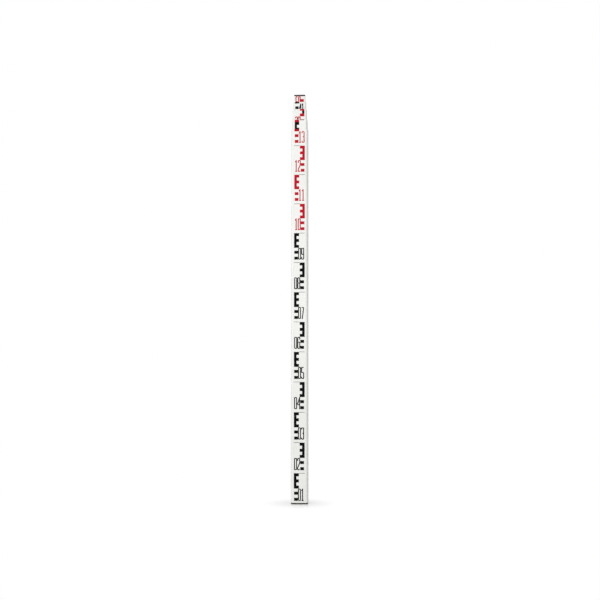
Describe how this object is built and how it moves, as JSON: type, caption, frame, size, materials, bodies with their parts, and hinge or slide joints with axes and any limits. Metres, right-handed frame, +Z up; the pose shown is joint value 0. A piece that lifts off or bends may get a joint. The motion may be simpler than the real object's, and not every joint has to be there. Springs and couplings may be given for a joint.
{
  "type": "leveling staff",
  "caption": "Collapsed telescopic leveling staff: nested rounded-rectangle tubes with stepped tops, spring lock buttons, a flat foot plate and a top cap.",
  "frame": {"origin": "middle of the foot plate's underside, where the staff stands", "axes": "+Z up along the staff, -Y out of the graduated face, +X to the right of someone reading it"},
  "size_m": [0.0576, 0.037, 1.3805],
  "materials": {
    "white_lacquer": "satin",
    "black_nylon": "matte",
    "natural_nylon": "matte",
    "black_steel": "satin",
    "zinc_steel": "satin",
    "spring_steel": "satin",
    "rivet_aluminium": "satin",
    "nickel_brass": "satin",
    "black_ink": "matte",
    "red_ink": "matte"
  },
  "bodies": {
    "section_1": {"section_1_tube": "white_lacquer", "base_shoe": "black_nylon", "base_plate": "black_steel", "base_screws": "zinc_steel", "shoe_rivets": "rivet_aluminium", "guide_bush_1": "natural_nylon"},
    "section_2": {"section_2_tube": "white_lacquer", "foot_2": "natural_nylon", "foot_rivets_2": "rivet_aluminium", "lock_spring_2": "spring_steel", "guide_bush_2": "natural_nylon"},
    "button_2": {"lock_button_2": "nickel_brass"},
    "section_3": {"section_3_tube": "white_lacquer", "foot_3": "natural_nylon", "foot_rivets_3": "rivet_aluminium", "lock_spring_3": "spring_steel", "guide_bush_3": "natural_nylon"},
    "button_3": {"lock_button_3": "nickel_brass"},
    "section_4": {"section_4_tube": "white_lacquer", "foot_4": "natural_nylon", "foot_rivets_4": "rivet_aluminium", "lock_spring_4": "spring_steel", "guide_bush_4": "natural_nylon"},
    "button_4": {"lock_button_4": "nickel_brass"},
    "section_5": {"section_5_tube": "white_lacquer", "foot_5": "natural_nylon", "foot_rivets_5": "rivet_aluminium", "lock_spring_5": "spring_steel", "top_cap": "black_nylon", "cap_rivets": "rivet_aluminium"},
    "button_5": {"lock_button_5": "nickel_brass"}
  },
  "joints": [
    {"name": "section_2_slide", "type": "slide", "parent": "section_1", "child": "section_2", "axis": [0, 0, 1], "range_m": [0, 1.017]},
    {"name": "section_3_slide", "type": "slide", "parent": "section_2", "child": "section_3", "axis": [0, 0, 1], "range_m": [0, 0.83]},
    {"name": "section_4_slide", "type": "slide", "parent": "section_3", "child": "section_4", "axis": [0, 0, 1], "range_m": [0, 0.854]},
    {"name": "section_5_slide", "type": "slide", "parent": "section_4", "child": "section_5", "axis": [0, 0, 1], "range_m": [0, 0.874]},
    {"name": "button_2_press", "type": "slide", "parent": "section_2", "child": "button_2", "axis": [0, -1, 0], "range_m": [0, 0.0016], "stiffness_N_per_m": 500, "springref_m": -0.004, "deforming": ["lock_spring_2"]},
    {"name": "button_3_press", "type": "slide", "parent": "section_3", "child": "button_3", "axis": [0, -1, 0], "range_m": [0, 0.0016], "stiffness_N_per_m": 500, "springref_m": -0.004, "deforming": ["lock_spring_3"]},
    {"name": "button_4_press", "type": "slide", "parent": "section_4", "child": "button_4", "axis": [0, -1, 0], "range_m": [0, 0.0016], "stiffness_N_per_m": 500, "springref_m": -0.004, "deforming": ["lock_spring_4"]},
    {"name": "button_5_press", "type": "slide", "parent": "section_5", "child": "button_5", "axis": [0, -1, 0], "range_m": [0, 0.0016], "stiffness_N_per_m": 500, "springref_m": -0.004, "deforming": ["lock_spring_5"]}
  ]
}
